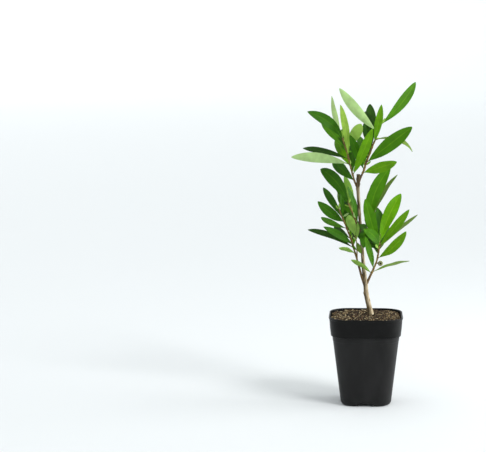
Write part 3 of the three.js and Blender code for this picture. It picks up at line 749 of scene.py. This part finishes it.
masses = {
    "lower_left_foliage": {
        "stem": [[-11.5, -0.5, 197], [-15.5, -1, 211], [-18.9, -1.5, 223], [-27.1, -2.5, 245],
                 [-32.6, -3, 259], [-37, -4, 269]],
        "radii": [1.25, 0.8],
        "twig": (0.02, [[-12.1, -5, 214], [-12.6, -8, 224], [-14.8, -9, 233]], [0.95, 0.7]),
        "leaves": [
            leafAt(0.80, -36, 45, 69, 10, 10, "deep"),
            leafAt(0.74, -46, -45, 68.5, 13.5, 0, "deep", sickle=8),
            leafAt(0.96, -10, 46, 38, 6, 74, "olive"),
            leafAt(0.84, -4, -42, 46, 8, 45, "deep"),
            leafAt(0.62, -72.5, 46, 55, 8.5, 20, "mid", sickle=16),
            leafAt(0.24, -73, 32, 81, 10, 35, "dark", sickle=-18),
            leafAt(0.30, -52, -46, 72, 10, 15, "deep", sickle=-10),
            leafAt(0.42, -61, 50, 42, 9, 0, "dark"),
            leafAt(0.14, -63, -50, 38, 8, 150, "olive"),
            leafAt(0.95, -15, -50, 54, 12, 180, "olive", onTwig=True),
            leafAt(0.75, 155, -50, 24, 7, 0, "olive", onTwig=True),
            leafAt(0.80, 4, -20, 27, 6, 160, "olive", onTwig=True),
        ],
        "more": dict(count=8, start=0.25, side=[-26, 14], long=[44, 66]),
        "space": ([-92, -66, 196], [0, 66, 300]),
    },
    "lower_right_foliage": {
        "stem": [[7.5, 1, 179], [11.2, 1, 187], [15.3, 0.8, 198], [17.4, 0.5, 209], [18.1, 0.2, 216],
                 [18.6, 0, 222]],
        "radii": [1.4, 0.85],
        "leaves": [
            leafAt(0.02, -51.5, -40, 46.5, 8.5, 150, "olive"),
            leafAt(0.16, -13, -46, 77, 9, 20, "mid"),
            leafAt(0.06, 82, 46, 77, 9, -74, "olive", bow=14),
            leafAt(0.52, 40, -46, 84, 13, 5, "bright", sickle=-16),
            leafAt(0.85, 53, 32, 80, 10, -62, "olive", bow=8),
            leafAt(0.90, 35.5, -36, 84.5, 11.5, 0, "bright", sickle=-2),
            leafAt(0.97, 25, 25, 80.5, 18, -15, "bright", sickle=14),
            leafAt(0.92, -16, -20, 74, 15.5, 10, "mid", sickle=10),
            leafAt(0.88, -38, -48, 54, 13, 15, "mid", sickle=-36),
            leafAt(0.76, -54, 46, 54, 12, 0, "dark"),
            leafAt(0.97, -8, 22, 82, 14, 0, "mid", sickle=30),
        ],
        "more": dict(count=7, start=0.6, side=[-30, 46]),
        "capsule": dict(at=0.36, out=[6, 0.5, -0.5], radius=3.6, stalk=0.9),
        "space": ([-30, -66, 178], [80, 66, 300]),
    },
    "middle_left_foliage": {
        "stem": [[-9.9, -1.2, 243.6], [-14.5, -4, 254], [-19, -6, 266], [-23.5, -7, 277]],
        "radii": [1.25, 0.85],
        "leaves": [
            leafAt(1.00, -42.5, 34, 73, 18, 0, "deep", sickle=-38),
            leafAt(0.60, -14, 46, 73, 11, 180, "olive", sickle=10),
            leafAt(0.12, -13, -44, 82, 9, 50, "deep"),
            leafAt(0.15, -11, 46, 53, 9, 40, "dark"),
        ],
        "more": dict(count=7, start=0.1, side=[-46, -6]),
        "space": ([-70, -66, 238], [-5, 66, 308]),
    },
    "middle_right_foliage": {
        "stem": [[-3.7, 0.2, 239], [-0.5, -2, 241], [3, -4, 243], [6, -5, 246.5]],
        "radii": [1.25, 0.85],
        "leaves": [
            leafAt(1.00, 20, 0, 87, 18.5, 0, "mid", sickle=46),
            leafAt(0.30, -44, -66, 34, 11, 20, "dark", bow=60),
            leafAt(0.16, 182, -60, 46, 12.5, 0, "deep", bow=70),
            leafAt(0.90, 30, 20, 84.5, 11, -56, "olive", sickle=22),
        ],
        "more": dict(count=7, start=0.3, side=[4, 42]),
        "space": ([-3, -66, 236], [60, 66, 335]),
    },
    "upper_left_foliage": {
        "stem": [[-15, -1.5, 306], [-19.5, -3, 322], [-22.9, -4, 336], [-26.3, -5, 350], [-29, -5, 357],
                 [-31.5, -5, 366]],
        "radii": [1.2, 0.8],
        "leaves": [
            leafAt(0.40, -84, 13, 85, 14, 180, "deep", sickle=20),
            leafAt(0.53, -80, 40, 86, 10, 30, "dark", sickle=-4),
            leafAt(0.74, -44, 45, 72, 12, 15, "mid"),
            leafAt(0.97, -50, -44, 86, 14.5, 5, "deep", sickle=-34),
            leafAt(0.78, -24, 50, 40, 8, 0, "dark"),
            leafAt(1.00, -15, 35, 74, 9, 145, "mid", sickle=-36),
            leafAt(0.58, -8, -28, 82, 10, 20, "fresh", sickle=-6),
            leafAt(0.76, 31.5, -40, 52.5, 15, 175, "fresh"),
            leafAt(0.16, 22, -33, 84, 13.5, 12, "bright"),
            leafAt(0.02, -50, 48, 60, 15, 0, "deep"),
        ],
        "more": dict(count=8, start=0.12, side=[-34, -2]),
        "space": ([-104, -66, 300], [12, 66, 396]),
    },
    "upper_right_foliage": {
        "stem": [[-4.9, 0, 317], [-2.5, 0, 322], [0.3, 0, 332], [5.7, 0, 345], [9.8, 0, 356],
                 [13.8, 0, 366], [17.9, 0, 379], [19.5, 0, 383]],
        "radii": [1.35, 0.8],
        "leaves": [
            leafAt(0.02, 69.5, -35, 60, 15, 10, "bright", sickle=2),
            leafAt(0.22, 51, -19, 84.5, 19.5, 5, "mid", sickle=4),
            leafAt(1.00, 39.5, 20, 81, 14, 5, "mid", sickle=-18),
            leafAt(0.70, 110, 12, 62, 9, -50, "olive", bow=100),
            leafAt(0.65, 10, -45, 76, 10.5, 10, "bright"),
            leafAt(0.55, -3, 46, 83, 15, 0, "dark"),
            leafAt(0.86, -41, 17, 84, 14, 180, "deep", sickle=-12),
            leafAt(0.08, -21, -28, 60, 12, 5, "deep"),
        ],
        "more": dict(count=8, start=0.12, side=[-28, 6]),
        "space": ([-40, -66, 310], [70, 66, 402]),
    },
}


# The blade in its own measure: across from -1 to 1, along from 0 to 1, with an upper and a lower face
def modelBlade(rows, columns):
    deselectAll()
    bpy.ops.mesh.primitive_plane_add(size=2, location=(0, 0, 0))
    blade = named("blade")
    editAll(blade)
    bpy.ops.transform.resize(value=(1, 0.5, 1))
    bpy.ops.transform.translate(value=(0, 0.5, 0))
    for across in columns:
        for side in (-1, 1):
            bpy.ops.mesh.select_all(action="SELECT")
            bpy.ops.mesh.bisect(plane_co=(side * across, 0, 0), plane_no=(1, 0, 0))
    for along in rows:
        bpy.ops.mesh.select_all(action="SELECT")
        bpy.ops.mesh.bisect(plane_co=(0, along, 0), plane_no=(0, 1, 0))
    bpy.ops.object.mode_set(mode="OBJECT")
    thick = blade.modifiers.new("thickness", "SOLIDIFY")
    thick.thickness = 0.1  # only so that the two faces can be told apart
    thick.offset = 0
    applyAll(blade)
    corners = np.array([vertex.co for vertex in blade.data.vertices])
    faces, parts = [], []
    for face in blade.data.polygons:
        faces.append(tuple(face.vertices))
        middle = face.center
        if middle.y < leafShape["petiole"]:
            parts.append(3)  # stalk
        elif abs(middle.x) < columns[0] and middle.z > 0.01:
            parts.append(1)  # midrib
        else:
            parts.append(2 if middle.z < -0.01 else 0)
    bpy.data.objects.remove(blade)
    return corners[:, 0], corners[:, 1].clip(0, 1), np.sign(corners[:, 2]), faces, parts


def unit(v):
    return v / np.linalg.norm(v, axis=-1, keepdims=True)


# Where a leaf runs: its points and the directions off its upper face and to its edge
def leafLine(root, leaf):
    side, back, turn = (math.radians(leaf[key]) for key in ("side", "back", "turn"))
    along = np.array([math.sin(side) * math.cos(back), math.sin(back), math.cos(side) * math.cos(back)])
    face = np.array([0.0, -1, 0])
    face = unit(face - along * (face @ along))
    face = np.array(Matrix.Rotation(turn, 3, Vector(along)) @ Vector(face))
    edge = np.cross(along, face)
    steps = leafShape["steps"]
    point = np.array(root, float)
    points, uppers, edges = [], [], []
    for k in range(steps + 1):
        sickle = math.radians(leaf.get("sickle", 0)) * (k / steps - 0.5)
        bow = math.radians(leaf.get("bow", leafShape["bow"])) * (k / steps - 0.5)
        onward = along * math.cos(sickle) * math.cos(bow) + edge * math.sin(sickle) - face * math.sin(bow)
        onward = unit(onward)
        upper = unit(face - onward * (face @ onward))
        points.append(point)
        uppers.append(upper)
        edges.append(np.cross(onward, upper))
        point = point + onward * leaf["long"] / steps
    return np.array(points), np.array(uppers), np.array(edges)


def halfWidth(leaf, share):
    petiole, narrow = leafShape["petiole"], leafShape["petioleHalf"]
    blade = np.clip((share - petiole) / (1 - petiole), 0, 1)
    swell = np.sin(math.pi * blade ** leafShape["fullest"]).clip(0) ** leafShape["blunt"]
    return np.where(share <= petiole, narrow, np.maximum(leaf["wide"] / 2 * swell, narrow * (1 - blade)))


def alongLine(values, share):
    at = np.linspace(0, 1, len(values))
    return np.stack([np.interp(share, at, values[:, k]) for k in range(3)], axis=1)


def bladeAlong(line, leaf, blade, draw):
    across, share, side, faces, parts = blade
    points, uppers, edges = line
    upper, edge = unit(alongLine(uppers, share)), unit(alongLine(edges, share))
    small = min(leaf["long"] / leafShape["fullLong"], 1)
    stalkHalf, fade = leafShape["stalkHalf"] * small, leafShape["stalkFade"]
    stalk = np.clip((leafShape["petiole"] * fade - share) / leafShape["petiole"], 0, 1)
    half = between(halfWidth(leaf, share), stalkHalf, np.minimum(stalk * fade, 1))
    half = np.maximum(half, leafShape["leastHalf"] * small)
    out = np.abs(across)
    rise = half * leafShape["fold"] * out ** leafShape["foldPower"] * (1 - stalk)
    thick = leafShape["halfThick"] * small * np.sqrt(np.clip(1 - out ** 3, 0, 1))
    thick = thick + leafShape["rim"] * small
    rib = leafShape["ribHeight"] * small * np.exp(-(out / leafShape["ribWidth"]) ** 2) * (1 - share)
    thick = thick + np.where(side < 0, rib, -leafShape["ribSink"] * rib)
    thick = between(thick, stalkHalf * np.sqrt(np.clip(1 - out ** 2, 0, 1)) + leafShape["rim"], stalk)
    slant = leafShape["waveSlant"]
    waves, phase, slant = draw(*leafShape["waves"]), draw(0, 1), draw(-slant, slant)
    ripple = np.sin(2 * math.pi * (share * waves + phase + slant * across))
    ripple = leafShape["wave"] * leaf["wide"] * out ** 2 * ripple
    lift = rise + side * thick + ripple * (1 - stalk) * np.minimum(1, (1 - share) * leafShape["waveEnd"])
    places = alongLine(points, share) + edge * (across * half)[:, None] + upper * lift[:, None]
    return places, faces, parts


def leafSpread(line, leaf):
    points, uppers, edges = line
    share = np.linspace(0, 1, len(points))
    half = halfWidth(leaf, share)
    spread = []
    for k in range(2, len(points), 2):
        for across in (-1, -0.5, 0, 0.5, 1):
            spread.append(points[k] + edges[k] * half[k] * across)
    return np.array(spread)


def fits(spread, root, space, taken):
    low, high = space
    if (spread < low).any() or (spread > high).any():
        return False
    free = spread[np.linalg.norm(spread - root, axis=1) >= further["rootRoom"]]
    others = taken[np.linalg.norm(taken - root, axis=1) >= further["rootRoom"]]
    gaps = np.linalg.norm(free[:, None, :] - others[None, :, :], axis=2)
    return bool((gaps > further["room"]).all())


def placeLeaves():
    draw = drawsFrom(further["seed"])
    taken = []
    paths = [trunk["path"]] + [path for path, radii in boughs.values()]
    paths += [mass["stem"] for mass in masses.values()]
    for path in paths:
        line = Line(path)
        count = math.ceil(line.length / further["stemSteps"])
        taken += [line.evenly(k / count) for k in range(count + 1)]
    for mass in masses.values():
        mass["line"] = Line(mass["stem"])
        mass["lines"] = []
        if "twig" in mass:
            start, path, radii = mass["twig"]
            mass["twigLine"] = Line([mass["line"].evenly(start), *path])
        for leaf in mass["leaves"]:
            carrier = mass["twigLine"] if leaf.get("onTwig") else mass["line"]
            root = carrier.evenly(leaf["at"])
            line = leafLine(root, leaf)
            taken += list(leafSpread(line, leaf))
            mass["lines"].append((line, leaf))
    for mass in masses.values():
        more = {**further, **mass["more"]}
        for n in range(more["count"]):
            for attempt in range(further["tries"]):
                leaf = {"at": draw(more["start"], 1)}
                for key in ("side", "back", "long", "wide", "turn", "sickle"):
                    leaf[key] = draw(*more[key])
                leaf["wide"] *= leaf["long"]
                root = mass["line"].evenly(leaf["at"])
                line = leafLine(root, leaf)
                spread = leafSpread(line, leaf)
                if not fits(spread, root, mass["space"], np.array(taken)):
                    continue
                taken += list(spread)
                leaf["look"] = further["looks"][len(mass["lines"]) % len(further["looks"])]
                mass["lines"].append((line, leaf))
                break


# Small leaves between the large ones, and a tuft at each tip
def placeLeaflets(mass, draw):
    def spreadDraw(key):
        return draw(-leaflets[key], leaflets[key])

    placed = []
    carriers = [mass["line"]] + ([mass["twigLine"]] if "twigLine" in mass else [])
    for carrier in carriers:
        count = int(carrier.length / leaflets["every"])
        for k in range(count):
            share = (k + draw(*leaflets["spacing"])) / count
            leaf = {"at": between(leaflets["from"], leaflets["to"], share)}
            leaf["side"], leaf["back"] = spreadDraw("side"), spreadDraw("back")
            leaf["long"] = draw(*leaflets["long"])
            leaf["look"] = "fresh" if draw(0, 1) > leaflets["midShare"] else "mid"
            placed.append((carrier, leaf))
        for k in range(leaflets["tips"]):
            leaf = {"at": 1, "side": spreadDraw("tipSide"), "back": spreadDraw("tipBack"),
                    "long": draw(*leaflets["tipLong"]), "look": "fresh"}
            placed.append((carrier, leaf))
    for carrier, leaf in placed:
        leaf["wide"] = leaf["long"] * draw(*leaflets["wide"])
        leaf["turn"] = spreadDraw("turn") + (180 if leaf["back"] < 0 else 0)
        leaf["sickle"] = spreadDraw("sickle")
        mass["lines"].append((leafLine(carrier.evenly(leaf["at"]), leaf), leaf))


def makeLeaves():
    blade = modelBlade(leafShape["rows"], leafShape["columns"])
    smallBlade = modelBlade(leafShape["smallRows"], leafShape["smallColumns"])
    placeLeaves()
    finishes = []
    for look, (upper, rib, under) in looks.items():
        for part, shade in (("Upper", upper), ("Rib", rib), ("Under", under)):
            darker = tuple(int(c * leafTone["darker"]) for c in shade)
            lighter = tuple(int(c * leafTone["lighter"]) + 1 for c in shade)
            finishes.append(makeFinish(look + part, [darker, shade, lighter], 9, rough=leafTone[part],
                                       relief=0.04, reliefGrain=0.7, specular=0.12, detail=3))
    finishes.append(makeFinish("leafStalk", leafTone["stalk"], 3, rough=(0.5, 0.6), specular=0.2))
    draw = drawsFrom(leaflets["seed"])
    order = list(looks)
    total = 0
    for name, mass in masses.items():
        placeLeaflets(mass, draw)
        parts = []
        for line, leaf in mass["lines"]:
            shape = smallBlade if leaf["long"] <= leaflets["tipLong"][1] else blade
            places, faces, kinds = bladeAlong(line, leaf, shape, draw)
            first = 3 * order.index(leaf["look"])
            kinds = [len(finishes) - 1 if kind == 3 else first + kind for kind in kinds]
            parts.append((places, faces, kinds))
        piece = pieceFromParts(name.replace("foliage", "leaves"), parts, finishes)
        dropUnusedFinishes(piece)
        smooth(piece, 50)
        finishPiece(piece, "leaf", name)
        total += len(parts)
    print("Leaves:", total)


def dropUnusedFinishes(piece):
    mesh = piece.data
    kinds = np.empty(len(mesh.polygons), int)
    mesh.polygons.foreach_get("material_index", kinds)
    used, packed = np.unique(kinds, return_inverse=True)
    materials = [mesh.materials[k] for k in used]
    mesh.materials.clear()
    for material in materials:
        mesh.materials.append(material)
    mesh.polygons.foreach_set("material_index", packed.reshape(-1))


# Stems, twigs and the seed capsule

stemShape = {
    "steps": 90, "twigSteps": 30, "roundness": 4,
    "swell": 0.35, "swellLong": 1.3, "swellFrom": 25,  # at the root of each leaf longer than this
    "relief": 0.08, "grain": 0.9, "stretch": 6,
}


def makeStems():
    for name, mass in masses.items():
        roots = [leaf["at"] for line, leaf in mass["lines"]
                 if not leaf.get("onTwig") and leaf["long"] > stemShape["swellFrom"]]
        length = mass["line"].length

        def radiusAt(share, place):
            away = [(share - at) * length / stemShape["swellLong"] for at in roots]
            swelling = min(sum(math.exp(-gap ** 2) for gap in away), 1)
            return radiusAlong(mass["radii"], share) + stemShape["swell"] * swelling

        stems = [drawLimb("stem", mass["line"], radiusAt, stemShape["steps"], stemShape["roundness"])]
        if "twig" in mass:
            radii = mass["twig"][2]
            stems.append(drawLimb("twig", mass["twigLine"],
                                  lambda share, place: radiusAlong(radii, share),
                                  stemShape["twigSteps"], stemShape["roundness"]))
        if "capsule" in mass:
            stems.append(capsuleStalk(mass))
        piece = joined(name.replace("foliage", "stems"), stems)
        reliefOn(piece, stemShape["relief"], stemShape["grain"], stemShape["stretch"])
        piece.data.materials.clear()
        piece.data.materials.append(bark["green"])
        smooth(piece, 50)
        finishPiece(piece, "young_bark", name)


# Sizes in shares of its radius, which its mass gives
capsule = {
    "top": 0.82, "flatAt": 0.8,  # the faces that face up more than this are laid flat at this height
    "lip": 0.12, "lipHeight": 0.12, "lipWall": 0.1,
    "mouthEdge": 0.06, "mouthDepth": 0.5, "mouthNarrow": 0.85,
    "uneven": 0.12, "unevenGrain": 1.1,  # millimetres
    "tip": 82, "turn": 8,
    "tones": [(84, 92, 48), (124, 128, 80), (152, 150, 108)],
}


def capsulePlace(mass):
    root = mass["line"].evenly(mass["capsule"]["at"])
    return root, root + np.array(mass["capsule"]["out"])


def capsuleStalk(mass):
    root, centre = capsulePlace(mass)
    return drawLimb("stalk", Line([root, centre]), lambda share, place: mass["capsule"]["stalk"], 8, 3)


# A round woody capsule with a rimmed opening to the front
def makeCapsule():
    mass = masses["lower_right_foliage"]
    root, centre = capsulePlace(mass)
    radius = mass["capsule"]["radius"] * mm
    deselectAll()
    bpy.ops.mesh.primitive_uv_sphere_add(segments=32, ring_count=20, radius=radius, location=(0, 0, 0))
    piece = named("seed_capsule")
    editAll(piece)
    selectFaces(piece, lambda face: face.normal.z > capsule["top"])
    bpy.ops.transform.resize(value=(1, 1, 0), center_override=(0, 0, capsule["flatAt"] * radius))
    bpy.ops.mesh.inset(thickness=capsule["lip"] * radius)
    bpy.ops.transform.translate(value=(0, 0, capsule["lipHeight"] * radius))
    bpy.ops.mesh.inset(thickness=capsule["lipWall"] * radius)
    bpy.ops.mesh.inset(thickness=capsule["mouthEdge"] * radius)
    bpy.ops.transform.translate(value=(0, 0, -capsule["mouthDepth"] * radius))
    bpy.ops.transform.resize(value=(capsule["mouthNarrow"], capsule["mouthNarrow"], 1))
    bpy.ops.object.mode_set(mode="OBJECT")
    inside = [face.select for face in piece.data.polygons]
    for vertex in piece.data.vertices:
        push = capsule["uneven"] * noise.noise(vertex.co / mm / capsule["unevenGrain"])
        vertex.co += vertex.normal * push * mm
    piece.data.materials.append(makeFinish("capsuleWood", capsule["tones"], 1.6, rough=(0.6, 0.8),
                                           relief=0.15, reliefGrain=0.6))
    piece.data.materials.append(bark["cut"])
    for face, dark in zip(piece.data.polygons, inside):
        face.material_index = 1 if dark else 0
    piece.rotation_euler = (math.radians(capsule["tip"]), 0, math.radians(capsule["turn"]))
    piece.location = centre * mm
    applyAll(piece)
    smooth(piece, 40)
    finishPiece(piece, "young_bark", "lower_right_foliage")


# Floor, light and the picture

studio = {
    "floor": (230, 233, 234), "floorDrop": 0.0002,
    # heights and radii of the floor's edge, which rises far away all round into a pale wall
    "bowl": [(0, 25), (0.6, 29), (2.4, 32), (5.5, 33.6), (10, 34), (17, 34)],
    "world": (0.965, 0.99, 1.0), "worldStrength": 0.8,
    "sun": ((0.8, -0.62, 0.85), 24, 2.2),  # where it stands, its width in degrees, and its strength
    "side": ((1.1, 0.1, 0.35), 0.7, 9),  # place and size in metres, power in watts
}


def addLight(kind, name, place):
    deselectAll()
    bpy.ops.object.light_add(type=kind, location=place)
    light = named(name)
    aim = Vector((0, 0, 0.2)) - Vector(place)
    light.rotation_euler = aim.to_track_quat("-Z", "Y").to_euler()
    return light.data


def addStudio():
    deselectAll()
    bowl = studio["bowl"]
    bpy.ops.mesh.primitive_circle_add(vertices=96, radius=bowl[0][1], fill_type="NGON",
                                      location=(0, 0, -studio["floorDrop"]))
    floor = named("floor")
    applyAll(floor)
    editAll(floor)
    drawThrough(bowl, unit=1)
    bpy.ops.mesh.delete(type="ONLY_FACE")
    turnFaces(inwards=True)
    smooth(floor, 60)
    shade = studio["floor"]
    floor.data.materials.append(makeFinish("paleFloor", [shade, shade], 400, rough=(0.85, 0.9), relief=0,
                                           specular=0.1))
    floor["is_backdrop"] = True
    place, wide, strength = studio["sun"]
    sun = addLight("SUN", "sun_light", place)
    sun.angle = math.radians(wide)
    sun.energy = strength
    place, size, power = studio["side"]
    side = addLight("AREA", "side_light", place)
    side.size = size
    side.energy = power
    world = bpy.data.worlds.new("studio")
    bpy.context.scene.world = world
    world.use_nodes = True
    background = world.node_tree.nodes["Background"]
    background.inputs["Color"].default_value = (*studio["world"], 1)
    background.inputs["Strength"].default_value = studio["worldStrength"]
    bpy.context.scene.view_settings.view_transform = "Standard"


bark = {}
barkTones = {
    "oldBark": [(42, 33, 20), (82, 69, 45), (118, 102, 72)],
    # pale tones of the bark's lit side: painted light
    "paintedLitSide": [(126, 104, 72), (196, 178, 144), (232, 220, 192)],
    "youngBark": [(52, 38, 24), (92, 70, 44), (128, 106, 68)],
    "greenTwig": [(70, 50, 28), (116, 92, 48), (152, 134, 72)],
    "cutWood": [(26, 18, 11), (48, 34, 22)],
}


def mixBark():
    # the old bark's own tones are kept dark, as painted shade on the side away from the light, and the
    # pale tones are the painted lit side
    bark["old"] = makeFinish("oldBark", barkTones["oldBark"], 1.6, stretch=(1, 1, 0.14),
                             rough=(0.65, 0.85), relief=0.3, reliefGrain=0.8, spread=(0.28, 0.68),
                             specular=0.2, paintedLitSide=barkTones["paintedLitSide"])
    bark["young"] = makeFinish("youngBark", barkTones["youngBark"], 1.4, stretch=(1, 1, 0.14),
                               rough=(0.6, 0.8), relief=0.2, reliefGrain=0.7, specular=0.2)
    bark["green"] = makeFinish("greenTwig", barkTones["greenTwig"], 2.4, stretch=(1, 1, 0.3),
                               rough=(0.5, 0.7), relief=0.12, reliefGrain=0.6, specular=0.2)
    bark["cut"] = makeFinish("cutWood", barkTones["cutWood"], 0.8, rough=(0.8, 0.95), relief=0.3,
                             specular=0.2)


addCamera()
print("Camera placed")
mixBark()
makePot()
print("Pot made")
makeSoilBed()
makeCrumbs()
print("Soil made")
makeTrunk()
print("Trunk and boughs made")
makeLeaves()
makeStems()
makeCapsule()
print("Foliage made")
addStudio()
deselectAll()

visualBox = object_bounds()
boxes = {"cad": cadBox, "visual": visualBox}
{name: [list(corner) for corner in box] for name, box in boxes.items()}
